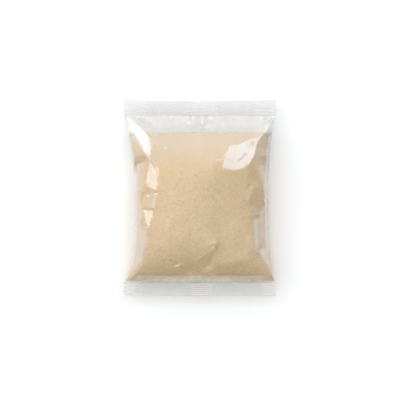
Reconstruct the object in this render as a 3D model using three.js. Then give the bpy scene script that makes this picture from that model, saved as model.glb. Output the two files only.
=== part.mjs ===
// Packet of ginger powder: a clear pillow pouch, crimped shut across both ends, lying on its back.
//
// Millimetres. +X runs across the packet, +Y runs along it to the top seal and +Z is up. The origin
// is on the surface that the packet lies on, under the middle of its outline.
//
// The pouch is one closed solid: a row of closed sections across the packet, skinned from end to end.
// Each section goes from the left edge over the front panel to the right edge, and back underneath.

import * as THREE from 'three';

// ---------------------------------------------------------------- driving dimensions

// the flat pouch
const POUCH_LENGTH = 155;
const FLAT_WIDTH = 120;
const FILLED_THICKNESS = 34.5;

// the crimped seals
const TOP_SEAL_DEPTH = 12;
const BOTTOM_SEAL_DEPTH = 10.4;
const SEAL_THICKNESS = 0.7;
const SEAL_HEIGHT = 9.5;
const SEAL_DROOP = 1.2;
const RIB_PITCH = 1.6;
const RIB_RISE = 0.6;
const TOP_CORNER_DROOP = 1.5;
const BOTTOM_CORNER_DROOP = 1.2;
const CORNER_START = 34;
const SEAM_BULGE = 0.6;
const SEAM_BULGE_WIDTH = 8.5;
const SAG_REACH = 14;

// the back seam, a lap of film pressed flat against the back panel
const SEAM_WIDTH = 11;
const SEAM_STEP = 0.4;
const SEAM_STEP_REACH = 2.5;

// the flat that the packet lies on, from one station to the other
const FLAT_TOP = 42;
const FLAT_BOTTOM = -45;

// how finely the skin is divided
const SIDE_STEPS = 6;
const SHOULDER_STEPS = 2;
const PANEL_STEPS = 24;
const UNDERSIDE_STEPS = 4;
const BACK_STEPS = 4;
const FLAT_STATIONS = 32;
const END_STATIONS = 11;

// ---------------------------------------------------------------- stations along the packet

const TOP_END = POUCH_LENGTH / 2;
const BOTTOM_END = -POUCH_LENGTH / 2;
const TOP_MOUTH = TOP_END - TOP_SEAL_DEPTH;
const BOTTOM_MOUTH = BOTTOM_END + BOTTOM_SEAL_DEPTH;
const HALF_WIDTH = FLAT_WIDTH / 2;

// ---------------------------------------------------------------- long curves of the filled pouch
// Each row is [station y, value], from the top mouth to the bottom one. The value is a place across
// the packet (x) or a height (z). The curves start and end in the two seals.

// outline of the packet as seen from above, drawn in where the filling makes it round
const LEFT_EDGE = throughKnots([
  [TOP_MOUTH, -HALF_WIDTH], [60, -57.9], [44, -55.3], [27, -52.3], [12, -51.3],
  [-25, -51.3], [-42, -52.8], [-56, -55.8], [BOTTOM_MOUTH, -HALF_WIDTH],
]);
const RIGHT_EDGE = throughKnots([
  [TOP_MOUTH, HALF_WIDTH], [60, 58.6], [46, 56.6], [32, 55.3], [13, 54.3],
  [-21, 54.2], [-41, 55.4], [-57, 58], [BOTTOM_MOUTH, HALF_WIDTH],
]);
const EDGE_RISE = throughKnots([
  [TOP_MOUTH, SEAL_HEIGHT], [45, 11], [15, 12], [-30, 12], [BOTTOM_MOUTH, SEAL_HEIGHT],
]);

// shoulder creases, where the front panel folds down to the sides
const LEFT_CREASE = throughKnots([
  [TOP_MOUTH, -58.8], [51.2, -52.6], [32, -40.2], [23.3, -34.6], [14.5, -32.9], [4.5, -33.8],
  [-9, -37.2], [-35.5, -42.4], [-49, -45.4], [-57, -50], [BOTTOM_MOUTH, -58.8],
]);
const LEFT_CREASE_RISE = throughKnots([
  [TOP_MOUTH, SEAL_HEIGHT], [51.2, 15.6], [32, 26], [14.5, 29.6], [-9, 28.8], [-35.5, 24.6],
  [-49, 19.6], [BOTTOM_MOUTH, SEAL_HEIGHT],
]);
const RIGHT_CREASE = throughKnots([
  [TOP_MOUTH, 58.8], [55, 52.4], [46, 45.8], [36, 42], [28, 39.4], [10, 39.6], [-8, 38.6],
  [-21, 41], [-40, 43.6], [-50, 50], [BOTTOM_MOUTH, 58.8],
]);
const RIGHT_CREASE_RISE = throughKnots([
  [TOP_MOUTH, SEAL_HEIGHT], [52, 16.5], [36, 24.6], [20, 28], [-5, 28], [-30, 24.8], [-42, 20.6],
  [BOTTOM_MOUTH, SEAL_HEIGHT],
]);

// fold that bounds the narrow facet inside the left shoulder, from the seal to where it runs out
const LEFT_FACET = throughKnots([
  [TOP_MOUTH, -57.6], [56, -46.5], [43.4, -37.6], [30, -33.6], [14.5, -31], [-9, -35],
  [-35.5, -40], [-49, -43], [BOTTOM_MOUTH, -57.6],
]);
const LEFT_FACET_RISE = throughKnots([
  [TOP_MOUTH, SEAL_HEIGHT], [56, 16.6], [43.4, 23.4], [30, 28], [14.5, 30.2], [-9, 29.6],
  [-35.5, 25.6], [-49, 20.8], [BOTTOM_MOUTH, SEAL_HEIGHT],
]);

// crown of the front panel
const CROWN_RISE = throughKnots([
  [TOP_MOUTH, SEAL_HEIGHT], [60, 13], [52.5, 17.3], [43, 23.2], [30, 29.2], [14, 33.2],
  [-6, FILLED_THICKNESS], [-28, 32.8], [-45, 27.4], [-56, 20.4], [-62.5, 14.4],
  [BOTTOM_MOUTH, SEAL_HEIGHT],
]);

// flat of the back panel: its side limits, and its lift towards the seals, which runs on below
// nought between the ends of the flat and is cut off there
const LEFT_FLAT = throughKnots([
  [TOP_MOUTH, -57], [45, -42], [20, -36], [-30, -36], [-50, -43], [BOTTOM_MOUTH, -57],
]);
const RIGHT_FLAT = throughKnots([
  [TOP_MOUTH, 57], [45, 43], [20, 38], [-30, 38], [-50, 44], [BOTTOM_MOUTH, 57],
]);
const BACK_LIFT = throughKnots([
  [TOP_MOUTH, SEAL_HEIGHT], [60, 6], [52, 2.4], [FLAT_TOP, 0], [30, -2.6],
  [-33, -2.6], [FLAT_BOTTOM, 0], [-55, 2.4], [-62, 6], [BOTTOM_MOUTH, SEAL_HEIGHT],
]);

// folds in the front: [start x, y], [end x, y], height of the ridge (a groove if below nought), and
// how far it reaches to the left and to the right of its line, seen from its start
const FRONT_FOLDS = [
  // left side, from the top
  { from: [-50.3, 27.2], to: [-40.5, 31.1], rise: -1.3, left: 6, right: 7 },
  { from: [-38.8, 29.4], to: [-43.5, 12], rise: 0.7, left: 4, right: 4 },
  { from: [-44, 11], to: [-34, 4.3], rise: 1.2, left: 13, right: 5 },
  { from: [-45.6, -8.1], to: [-36.9, -8.1], rise: -1.2, left: 5, right: 9 },
  // right side
  { from: [42.5, 29.4], to: [47.5, 18.1], rise: -0.8, left: 4, right: 5 },
  { from: [37.7, -1], to: [46.5, 11.5], rise: 1, left: 5, right: 5 },
  { from: [37.7, -3], to: [50, -11], rise: -1.5, left: 6, right: 6 },
  // above the bottom seal
  { from: [12.3, -38.5], to: [0.2, -48.1], rise: 0.9, left: 1.6, right: 8 },
  { from: [0.2, -48.1], to: [-14, -53], rise: 0.6, left: 2.5, right: 6 },
];
const FOLD_END_REACH = 4;

// ---------------------------------------------------------------- helpers

/** Smooth curve through [station, value] knots that never swings past a knot. */
function throughKnots(rows) {
  const knots = [...rows].sort((a, b) => a[0] - b[0]);
  const secant = (i) => (knots[i + 1][1] - knots[i][1]) / (knots[i + 1][0] - knots[i][0]);
  const slopes = knots.map((knot, i) => {
    if (i === 0) return secant(0);
    if (i === knots.length - 1) return secant(i - 1);
    const before = secant(i - 1);
    const after = secant(i);
    return before * after > 0 ? (2 * before * after) / (before + after) : 0;
  });
  return (station) => {
    const y = THREE.MathUtils.clamp(station, knots[0][0], knots[knots.length - 1][0]);
    const last = knots.findIndex((knot, i) => i > 0 && y <= knot[0]);
    const [y0, v0] = knots[last - 1];
    const [y1, v1] = knots[last];
    const span = y1 - y0;
    const t = (y - y0) / span;
    const rest = 1 - t;
    return v0 * rest * rest * (1 + 2 * t) + v1 * t * t * (1 + 2 * rest)
      + span * t * rest * (slopes[last - 1] * rest - slopes[last] * t);
  };
}

/** Points of a quadratic curve from start to end, without its last point. */
function bend(start, pull, end, steps) {
  const curve = new THREE.QuadraticBezierCurve(
    new THREE.Vector2(...start), new THREE.Vector2(...pull), new THREE.Vector2(...end));
  return curve.getPoints(steps).slice(0, -1);
}

/** Points of a straight line from start to end, without its last point. */
function straight(start, end, steps) {
  const line = new THREE.LineCurve(new THREE.Vector2(...start), new THREE.Vector2(...end));
  return line.getPoints(steps).slice(0, -1);
}

/** 1 at the start of a reach, falling smoothly to 0 at its end. */
function fade(distance, reach) {
  return 1 - THREE.MathUtils.smoothstep(distance, 0, reach);
}

// ---------------------------------------------------------------- the surface

/** How far a place lies inside the seal it is nearest to: 0 in the body, up to the seal's depth. */
function depthInSeal(y) {
  return Math.max(y - TOP_MOUTH, BOTTOM_MOUTH - y, 0);
}

/** How far the sealed bands leave the straight: drooping corners and a bulge at the back seam. */
function sealSag(x, y) {
  const nearTop = fade(TOP_MOUTH - y, SAG_REACH);
  const nearBottom = fade(y - BOTTOM_MOUTH, SAG_REACH);
  const corner = THREE.MathUtils.smoothstep(Math.abs(x), CORNER_START, HALF_WIDTH);
  const bulge = SEAM_BULGE * Math.exp(-((x / SEAM_BULGE_WIDTH) ** 2));
  return nearTop * (bulge - TOP_CORNER_DROOP * corner)
    + nearBottom * (bulge - BOTTOM_CORNER_DROOP * corner);
}

/** How far a seal is lifted off its mouth's height, by its crimped ribs and its drooping end. */
function sealLift(y) {
  const depth = depthInSeal(y);
  const sealDepth = y > 0 ? TOP_SEAL_DEPTH : BOTTOM_SEAL_DEPTH;
  const droop = SEAL_DROOP * (depth / sealDepth) ** 2;
  return (RIB_RISE / 2) * (1 - Math.cos((2 * Math.PI * depth) / RIB_PITCH)) - droop;
}

/** What the folds add to the height of the front at a place. */
function foldRise(x, y) {
  return FRONT_FOLDS.reduce((sum, { from, to, rise, left, right }) => {
    const along = new THREE.Vector2(...to).sub(new THREE.Vector2(...from));
    const length = along.length();
    along.normalize();
    const place = new THREE.Vector2(x, y).sub(new THREE.Vector2(...from));
    const run = place.dot(along);
    const side = along.cross(place);
    const flank = Math.max(1 - Math.abs(side) / (side > 0 ? left : right), 0);
    const beyond = Math.max(-run, run - length, 0);
    return sum + rise * flank * fade(beyond, FOLD_END_REACH);
  }, 0);
}

/** Height of the front panel between its creases, crowned in the middle. */
function panelRise(x, y, left, right) {
  const across = (x - left[0]) / (right[0] - left[0]);
  const base = THREE.MathUtils.lerp(left[1], right[1], across);
  const crown = CROWN_RISE(y) - (left[1] + right[1]) / 2;
  const off = Math.abs(2 * across - 1);
  return base + crown * (1 - off ** 2.3);
}

/** Height of the back panel, lifted beside the back seam's edges by the thickness of its lap. */
function backRise(x, y) {
  const beyond = Math.abs(x) - SEAM_WIDTH / 2;
  const step = beyond > 0 ? SEAM_STEP * fade(beyond, SEAM_STEP_REACH) : 0;
  return backBase(y) + step;
}

/** Height of the underside of the back panel beside the seam. */
function backBase(y) {
  const lift = Math.max(BACK_LIFT(y), 0);
  return lift * (1 - SEAL_THICKNESS / (2 * SEAL_HEIGHT));
}

/** Closed section of the filled body at a station, as points [x, z]. */
function bodySection(y) {
  const half = SEAL_THICKNESS / 2;
  const leftEdge = [LEFT_EDGE(y), EDGE_RISE(y)];
  const rightEdge = [RIGHT_EDGE(y), EDGE_RISE(y)];
  const leftCrease = [LEFT_CREASE(y), LEFT_CREASE_RISE(y) + half];
  const leftFacet = [LEFT_FACET(y), LEFT_FACET_RISE(y) + half];
  const rightCrease = [RIGHT_CREASE(y), RIGHT_CREASE_RISE(y) + half];
  const leftFlat = [LEFT_FLAT(y), backBase(y)];
  const rightFlat = [RIGHT_FLAT(y), leftFlat[1]];

  const panel = straight(leftFacet, rightCrease, PANEL_STEPS)
    .map((p) => new THREE.Vector2(p.x, panelRise(p.x, y, leftFacet, rightCrease)));
  const over = [
    ...bend(leftEdge, [leftEdge[0], THREE.MathUtils.lerp(leftEdge[1], leftCrease[1], 0.5)],
      leftCrease, SIDE_STEPS),
    ...straight(leftCrease, leftFacet, SHOULDER_STEPS),
    ...panel,
    ...bend(rightCrease, [rightEdge[0], THREE.MathUtils.lerp(rightEdge[1], rightCrease[1], 0.5)],
      rightEdge, SIDE_STEPS),
  ].map((p) => new THREE.Vector2(p.x, p.y + foldRise(p.x, y)));

  const seamEdge = SEAM_WIDTH / 2;
  const seamFoot = seamEdge + SEAM_STEP_REACH;
  const backStops = [rightFlat[0], seamFoot, seamEdge + 0.1, seamEdge, -seamEdge,
    -seamEdge - 0.1, -seamFoot, leftFlat[0]];
  const back = backStops.slice(0, -1).flatMap((stop, i) => {
    const wide = i === 0 || i === backStops.length - 2;
    return straight([stop, 0], [backStops[i + 1], 0], wide ? BACK_STEPS : 1);
  }).map((p) => new THREE.Vector2(p.x, backRise(p.x, y)));
  const under = [
    ...bend(rightEdge, [rightEdge[0], rightFlat[1]], rightFlat, UNDERSIDE_STEPS),
    ...back,
    ...bend(leftFlat, [leftEdge[0], leftFlat[1]], leftEdge, UNDERSIDE_STEPS),
  ];
  return [...over, ...under].map((p) => new THREE.Vector2(p.x, p.y + sealSag(p.x, y)));
}

/** Closed section of a seal: the section at its mouth, pressed on to the ribbed sheet. */
function sealSection(y) {
  const mouth = bodySection(y > 0 ? TOP_MOUTH : BOTTOM_MOUTH);
  return mouth.map((p) => new THREE.Vector2(p.x, p.y + sealLift(y)));
}

/** Stations of the skin: half a rib apart in the seals, with a row at each end of the flat. */
function stations() {
  const sealRows = (depth) => {
    const count = Math.round((2 * depth) / RIB_PITCH);
    return Array.from({ length: count }, (_, i) => ((i + 1) * depth) / count);
  };
  const stretch = (from, to, count) => Array.from({ length: count },
    (_, i) => THREE.MathUtils.lerp(from, to, i / count));
  const body = [
    ...stretch(BOTTOM_MOUTH, FLAT_BOTTOM, END_STATIONS),
    ...stretch(FLAT_BOTTOM, FLAT_TOP, FLAT_STATIONS),
    ...stretch(FLAT_TOP, TOP_MOUTH, END_STATIONS),
    TOP_MOUTH,
  ];
  return [
    ...sealRows(BOTTOM_SEAL_DEPTH).reverse().map((depth) => BOTTOM_MOUTH - depth),
    ...body,
    ...sealRows(TOP_SEAL_DEPTH).map((depth) => TOP_MOUTH + depth),
  ];
}

/** Skins the sections into one closed body, with a fan of faces over each cut end. */
function skin() {
  const rows = stations();
  const rings = rows.map((y) => (depthInSeal(y) > 0 ? sealSection(y) : bodySection(y))
    .map((p) => new THREE.Vector3(p.x, y, p.y)));
  const around = rings[0].length;
  const points = rings.flat();
  const faces = [];
  for (let row = 0; row < rings.length - 1; row += 1) {
    for (let i = 0; i < around; i += 1) {
      const a = row * around + i;
      const b = row * around + ((i + 1) % around);
      faces.push([a, b, a + around], [b, b + around, a + around]);
    }
  }
  [0, rings.length - 1].forEach((row) => {
    const centre = rings[row].reduce((sum, p) => sum.add(p), new THREE.Vector3())
      .divideScalar(around);
    const hub = points.push(centre) - 1;
    for (let i = 0; i < around; i += 1) {
      const a = row * around + i;
      const b = row * around + ((i + 1) % around);
      faces.push(row === 0 ? [hub, b, a] : [hub, a, b]);
    }
  });
  const geometry = new THREE.BufferGeometry();
  geometry.setAttribute('position',
    new THREE.Float32BufferAttribute(points.flatMap((p) => p.toArray()), 3));
  geometry.setIndex(faces.flat());
  geometry.computeVertexNormals();
  return geometry;
}

// ---------------------------------------------------------------- the packet

const gingerInFilm = new THREE.MeshStandardMaterial({
  color: 0xdcc6a0,
  roughness: 0.35,
  metalness: 0,
});

const packet = new THREE.Mesh(skin(), gingerInFilm);
packet.name = 'packet';

const part = new THREE.Group();
part.add(packet);

export default part;
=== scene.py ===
"""Packet of ginger powder: a clear pillow pouch, crimped shut at both ends, lying on its back.

The forms are worked out in millimetres and the meshes are made in metres, both in the frame's own
axes: +X across the packet, +Y along it to the top seal and +Z up from the surface it lies on.
"""

import logging
import math
from dataclasses import dataclass
from enum import Enum
from functools import cached_property
from typing import Callable

import bpy
import numpy as np
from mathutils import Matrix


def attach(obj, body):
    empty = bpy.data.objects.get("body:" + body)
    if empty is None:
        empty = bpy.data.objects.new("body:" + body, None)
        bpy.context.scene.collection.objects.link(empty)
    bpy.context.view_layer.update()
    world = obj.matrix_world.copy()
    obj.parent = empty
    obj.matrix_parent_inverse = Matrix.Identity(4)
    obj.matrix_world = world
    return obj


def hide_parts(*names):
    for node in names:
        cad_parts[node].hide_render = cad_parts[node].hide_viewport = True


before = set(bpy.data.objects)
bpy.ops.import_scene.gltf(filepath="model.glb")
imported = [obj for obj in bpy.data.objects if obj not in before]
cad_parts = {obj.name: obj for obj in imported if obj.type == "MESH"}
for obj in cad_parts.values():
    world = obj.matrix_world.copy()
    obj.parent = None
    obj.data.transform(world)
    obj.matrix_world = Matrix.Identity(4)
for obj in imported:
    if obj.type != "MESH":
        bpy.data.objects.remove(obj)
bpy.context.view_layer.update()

LOG = logging.getLogger("ginger_packet")
MM = 0.001
BODY = "root"
NODE = "packet"
# point attribute of the facets' paler veil: painted highlights and painted shade on the film
FACET_HAZE_AND_PAINTED_LIGHT = "facet_haze"
DUST_AND_LIGHT_STRIPS = ("All Over", "Top", "Bottom", "Sides", "Top Edge", "Bottom Edge")
HALF_WIDTH = 60.0
SEAL_HEIGHT = 9.5
BOTTOM_RIB_START = 0.6

# where the front's relief dies away: a share of its columns at each edge, the same for its
# facets alone, and millimetres under the top seal and above the bottom one
RELIEF_MARGIN, FACET_MARGIN = 0.04, 0.02
TOP_MARGIN, BOTTOM_MARGIN = 6.0, 5.0

# fine crinkles of the front: height, size of their lumps, seed and skew
CRINKLES = ((0.16, 9.0, 4, 0.0), (0.07, 4.2, 9, 0.4))

# slopes that show the light from the key box, each towards +X and towards +Y
BAND_TILT = (0.43, -0.31)
SIDE_TILT = (0.49, -0.2)
PATCH_TILT = (-0.21, -0.36)

Grid = np.ndarray
Pair = tuple[float, float]
Colour = tuple[float, float, float]


# ---------------------------------------------------------------------------- curves and folds


def smooth(t: Grid) -> Grid:
    """Smooth step of values between 0 and 1."""
    t = np.clip(t, 0.0, 1.0)
    return t * t * (3 - 2 * t)


def curve(rows: tuple[Pair, ...], y: Grid) -> Grid:
    """A smooth curve through a few (station, value) knots that never swings past a knot.

    Args:
        rows: its knots, in any order.
        y: stations.

    Returns:
        The curve's value at each station.
    """
    places, values = np.array(sorted(rows)).T
    secants = np.diff(values) / np.diff(places)
    before, after = secants[:-1], secants[1:]
    agree = before * after > 0
    total = np.where(agree, before + after, 1.0)
    inner = np.where(agree, 2 * before * after / total, 0.0)
    slopes = np.concatenate((secants[:1], inner, secants[-1:]))
    y = np.clip(y, places[0], places[-1])
    last = np.clip(np.searchsorted(places, y), 1, len(places) - 1)
    first = last - 1
    span = places[last] - places[first]
    t = (y - places[first]) / span
    rest = 1 - t
    return (
        values[first] * rest * rest * (1 + 2 * t)
        + values[last] * t * t * (1 + 2 * rest)
        + span * t * rest * (slopes[first] * rest - slopes[last] * t)
    )


def ripple(x: Grid, y: Grid, scale: float, seed: int) -> Grid:
    """Soft random relief between about -1 and 1, the same on every run.

    Args:
        x, y: places across and along the packet.
        scale: size of its lumps, in millimetres.
        seed: picks the pattern.

    Returns:
        The relief at each place.
    """
    cells = 257
    lattice = np.random.default_rng(seed).uniform(-1, 1, (cells, cells))
    u, v = x / scale + cells / 2, y / scale + cells / 2
    i, j = np.floor(u).astype(int), np.floor(v).astype(int)
    a, b = smooth(u - i), smooth(v - j)
    return between_cells(lattice, i % (cells - 1), j % (cells - 1), a, b)


def between_cells(table: Grid, i: Grid, j: Grid, a: Grid, b: Grid) -> Grid:
    """A table's values between its cells.

    Args:
        table: the table.
        i, j: whole places along its two axes.
        a, b: shares of a cell past them.

    Returns:
        The value at each place.
    """
    low = table[i, j] * (1 - a) + table[i + 1, j] * a
    high = table[i, j + 1] * (1 - a) + table[i + 1, j + 1] * a
    return low * (1 - b) + high * b


@dataclass(frozen=True)
class Fold:
    """A round ridge in the film from start to end, with flanks that reach out to both sides."""

    start: Pair
    end: Pair
    rise: float
    reach: float
    taper: float

    def lift(self, x: Grid, y: Grid) -> Grid:
        """What the fold adds to the film's height.

        Args:
            x, y: places across and along the packet.

        Returns:
            The added heights in millimetres.
        """
        run = np.array(self.end) - np.array(self.start)
        length = float(np.hypot(*run))
        right, up = run / length
        x, y = x - self.start[0], y - self.start[1]
        along, side = x * right + y * up, y * right - x * up
        beyond = np.maximum(np.maximum(-along, along - length), 0)
        flank = 1 - smooth(np.abs(side) / self.reach)
        return self.rise * flank * (1 - smooth(beyond / self.taper))


@dataclass(frozen=True)
class Pucker:
    """A short gather in the film that starts at x on a seal and leans as it runs into the body."""

    x: float
    length: float
    half_width: float
    rise: float
    lean: float = 0.0

    def lift(self, x: Grid, inward: Grid) -> Grid:
        """What the pucker adds to the film's height.

        Args:
            x: places across the packet.
            inward: distances from the seal's mouth into the body.

        Returns:
            The added heights in millimetres.
        """
        t = np.clip(inward / self.length, 0, 1)
        swell = np.sin(np.pi * t**0.6) ** 1.5
        centre = self.x + self.lean * t
        width = self.half_width * (0.6 + 0.7 * t)
        return self.rise * swell * np.exp(-(((x - centre) / width) ** 2))


@dataclass(frozen=True)
class Facet:
    """A flat patch of film between creases.

    Attributes:
        corners: x and y of each corner in turn, in millimetres; the outline is convex.
        slope: its rise for each millimetre towards +X and +Y, or None to leave the film as it is.
        haze: painted highlight on lit facets, a paler veil on shaded film, painted shade below
            nought.
        soft: how wide its edges are.
        blur: how wide the edges of that painted veil are.
    """

    corners: tuple[float, ...]
    slope: Pair | None = None
    haze: float = 0.0
    soft: float = 0.8
    blur: float = 3.0

    def share(self, x: Grid, y: Grid, soft: float) -> Grid:
        """How far each place lies inside the facet, from 0 outside to 1 inside.

        Args:
            x, y: places across and along the packet.
            soft: how wide the edges are.

        Returns:
            The share at each place.
        """
        corners = np.reshape(self.corners, (-1, 2))
        after = np.roll(corners, -1, axis=0)
        area = np.sum(corners[:, 0] * after[:, 1] - after[:, 0] * corners[:, 1])
        inside = np.full(np.shape(x), np.inf)
        for start, end in zip(corners, after):
            right, up = (end - start) / np.hypot(*(end - start)) * np.sign(area)
            inside = np.minimum(inside, right * (y - start[1]) - up * (x - start[0]))
        return smooth(inside / soft + 0.5)


def glints(slope: Pair, *rows: tuple[float, float, tuple[float, ...]]) -> tuple[Facet, ...]:
    """Small facets of one slope with a crisp painted highlight, each from its haze, softness and
    corners.
    """
    return tuple(Facet(corners, slope, haze, soft, 1) for haze, soft, corners in rows)


@dataclass(frozen=True)
class FacetField:
    """Bends a height field until its facets have their slopes, with no step at their edges.

    It reaches from low to high, both (x, y) in millimetres, and later facets lie over earlier ones.
    """

    facets: tuple[Facet, ...]
    low: Pair
    high: Pair
    step: float = 0.5
    rounds: int = 14

    @property
    def axes(self) -> tuple[Grid, Grid]:
        """Places of the field's samples across and along the packet, its border left out."""
        counts = [round((b - a) / self.step) for a, b in zip(self.low, self.high)]
        x, y = (np.linspace(a, b, n + 1) for a, b, n in zip(self.low, self.high, counts))
        return x[1:-1], y[1:-1]

    def sampled(self, points: Grid) -> Grid:
        """A skin's height at the field's own samples.

        Args:
            points: the skin, as stations by columns by 3.

        Returns:
            Heights, one row for each place along the packet.
        """
        x, y = self.axes
        rows = np.array([np.interp(x, row[:, 0], row[:, 2]) for row in points])
        return np.array([np.interp(y, points[:, 0, 1], column) for column in rows.T]).T

    def solved(self, source: Grid) -> Grid:
        """The field that has a given Laplacian and is nought round its border.

        Args:
            source: the Laplacian at the field's samples.

        Returns:
            The field there.
        """
        waves, bends = [], []
        for places in reversed(self.axes):
            k = np.arange(1, len(places) + 1)
            waves.append(np.sin(np.pi * np.outer(k, k) / (len(k) + 1)))
            bends.append((2 * np.cos(np.pi * k / (len(k) + 1)) - 2) / (places[1] - places[0]) ** 2)
        parts = waves[0] @ source @ waves[1] / (bends[0][:, None] + bends[1][None, :])
        scale = 4 / ((source.shape[0] + 1) * (source.shape[1] + 1))
        return waves[0] @ parts @ waves[1] * scale

    def relief(self, points: Grid) -> Grid:
        """What the facets add to a skin's height.

        Args:
            points: the skin, as stations by columns by 3.

        Returns:
            The added heights, stations by columns.
        """
        x, y = self.axes
        base = self.sampled(points)
        grid = np.meshgrid(x, y)
        tilted = [(f.slope, f.share(*grid, f.soft)) for f in self.facets if f.slope]
        height = base.copy()
        for _ in range(self.rounds):
            rise_y, rise_x = np.gradient(height, y, x)
            want_x, want_y = rise_x.copy(), rise_y.copy()
            for (right, up), share in tilted:
                want_x += share * (right - want_x)
                want_y += share * (up - want_y)
            source = np.gradient(want_x - rise_x, x, axis=1)
            source += np.gradient(want_y - rise_y, y, axis=0)
            height += self.solved(source)
        u = (points[:, :, 0] - self.low[0]) / (x[1] - x[0])
        v = (points[:, :, 1] - self.low[1]) / (y[1] - y[0])
        u, v = np.clip(u, 0, len(x) + 0.999), np.clip(v, 0, len(y) + 0.999)
        i, j = u.astype(int), v.astype(int)
        return between_cells(np.pad(height - base, 1).T, i, j, u - i, v - j)

    def haze(self, points: Grid) -> Grid:
        """How much paler the facets make the film: painted highlight and painted shade.

        Args:
            points: the skin, as stations by columns by 3.

        Returns:
            The share at each point, below nought where it is painted shade.
        """
        haze = np.zeros(points.shape[:2])
        for facet in self.facets:
            share = facet.share(points[:, :, 0], points[:, :, 1], facet.blur)
            haze += share * (facet.haze - haze)
        return haze


# ---------------------------------------------------------------------------- form of the pouch


class End(Enum):
    """The two ends of the packet, as the direction of each along +Y."""

    TOP = 1
    BOTTOM = -1


class Line(Enum):
    """Long curves of the filled pouch: the value at both mouths, then (station, value) knots.

    A rise is a height, and every other curve is a place across the packet. The two creases are the
    shoulders of the front, the facet line is the fold just inside the left one, the crown is the
    middle of the front, and the flats bound the part of the back that lies on the surface.
    """

    LEFT_EDGE = (
        -HALF_WIDTH, (60, -57.9), (44, -55.3), (27, -52.3), (12, -51.3), (-25, -51.3),
        (-42, -52.8), (-56, -55.8))
    RIGHT_EDGE = (
        HALF_WIDTH, (60, 58.6), (46, 56.6), (32, 55.3), (13, 54.3), (-21, 54.2), (-41, 55.4),
        (-57, 58))
    EDGE_RISE = (SEAL_HEIGHT, (45, 11), (15, 12), (-30, 12))
    LEFT_CREASE = (
        -58.8, (51.2, -52.6), (32, -40.2), (23.3, -34.6), (14.5, -32.9), (4.5, -33.8),
        (-9, -37.2), (-35.5, -42.4), (-49, -45.4), (-57, -50))
    LEFT_CREASE_RISE = (
        SEAL_HEIGHT, (51.2, 15.6), (32, 26.0), (14.5, 29.6), (-9, 28.8), (-35.5, 24.6),
        (-49, 19.6))
    FACET_LINE = (
        -57.6, (56, -46.5), (43.4, -37.6), (30, -33.6), (14.5, -31), (-9, -35), (-35.5, -40),
        (-49, -43))
    FACET_LINE_RISE = (
        SEAL_HEIGHT, (56, 16.6), (43.4, 23.4), (30, 28), (14.5, 30.2), (-9, 29.6), (-35.5, 25.6),
        (-49, 20.8))
    RIGHT_CREASE = (
        58.8, (55, 52.4), (46, 45.8), (36, 42), (28, 39.4), (10, 39.6), (-8, 38.6), (-21, 41),
        (-40, 43.6), (-50, 50))
    RIGHT_CREASE_RISE = (
        SEAL_HEIGHT, (52, 16.5), (36, 24.6), (20, 28), (-5, 28), (-30, 24.8), (-42, 20.6))
    CROWN_RISE = (
        SEAL_HEIGHT, (60, 13), (52.5, 17.3), (43, 23.2), (30, 29.2), (14, 33.2), (-6, 34.5),
        (-28, 32.8), (-45, 27.4), (-56, 20.4), (-62.5, 14.4))
    LEFT_FLAT = (-57, (45, -42), (20, -36), (-30, -36), (-50, -43))
    RIGHT_FLAT = (57, (45, 43), (20, 38), (-30, 38), (-50, 44))
    BACK_RISE = (
        SEAL_HEIGHT, (60, 6), (52, 2.4), (42, 0), (30, -2.6), (-33, -2.6), (-45, 0), (-55, 2.4),
        (-62, 6))


@dataclass(frozen=True)
class PouchForm:
    """Sizes of the filled pouch, in millimetres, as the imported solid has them."""

    length: float = 155.0
    top_seal_depth: float = 12.0
    bottom_seal_depth: float = 10.4
    seal_droop: float = 1.2
    rib_pitch: float = 1.6
    seam_width: float = 11.0
    film_gap: float = 0.16
    top_corner_droop: float = 1.5
    bottom_corner_droop: float = 1.2
    corner_start: float = 34.0
    seam_bulge: float = 0.6
    seam_bulge_width: float = 8.5
    sag_reach: float = 14.0

    @property
    def top_mouth(self) -> float:
        """Station of the inner edge of the top seal."""
        return self.length / 2 - self.top_seal_depth

    @property
    def bottom_mouth(self) -> float:
        """Station of the inner edge of the bottom seal."""
        return self.bottom_seal_depth - self.length / 2

    def line(self, line: Line, y: Grid) -> Grid:
        """One of the long curves at some stations."""
        value, *rows = line.value
        return curve(((self.top_mouth, value), *rows, (self.bottom_mouth, value)), y)

    def low(self, y: Grid) -> Grid:
        """Height of the middle of the back panel, which is flat between the ends."""
        return np.maximum(self.line(Line.BACK_RISE, y), 0)

    def seal_sag(self, x: Grid, y: Grid) -> Grid:
        """How far the sealed bands leave the straight: drooping corners, a bulge at the seam.

        Args:
            x, y: places across and along the packet.

        Returns:
            The added heights, which fade out a little way into the body.
        """
        near_top = smooth(1 - (self.top_mouth - y) / self.sag_reach)
        near_bottom = smooth(1 - (y - self.bottom_mouth) / self.sag_reach)
        corner = smooth((np.abs(x) - self.corner_start) / (HALF_WIDTH - self.corner_start))
        bulge = self.seam_bulge * np.exp(-((x / self.seam_bulge_width) ** 2))
        return (
            near_top * (bulge - self.top_corner_droop * corner)
            + near_bottom * (bulge - self.bottom_corner_droop * corner)
        )


# broad, soft panels of the front
FRONT_FOLDS: tuple[Fold, ...] = (
    Fold((3.0, 52.0), (11.0, 12.0), 0.4, 14, 12),
    Fold((20.0, 10.0), (30.0, -30.0), 0.4, 12, 12),
    Fold((-24.0, -20.0), (-16.0, -50.0), 0.6, 12, 10),
)

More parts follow.
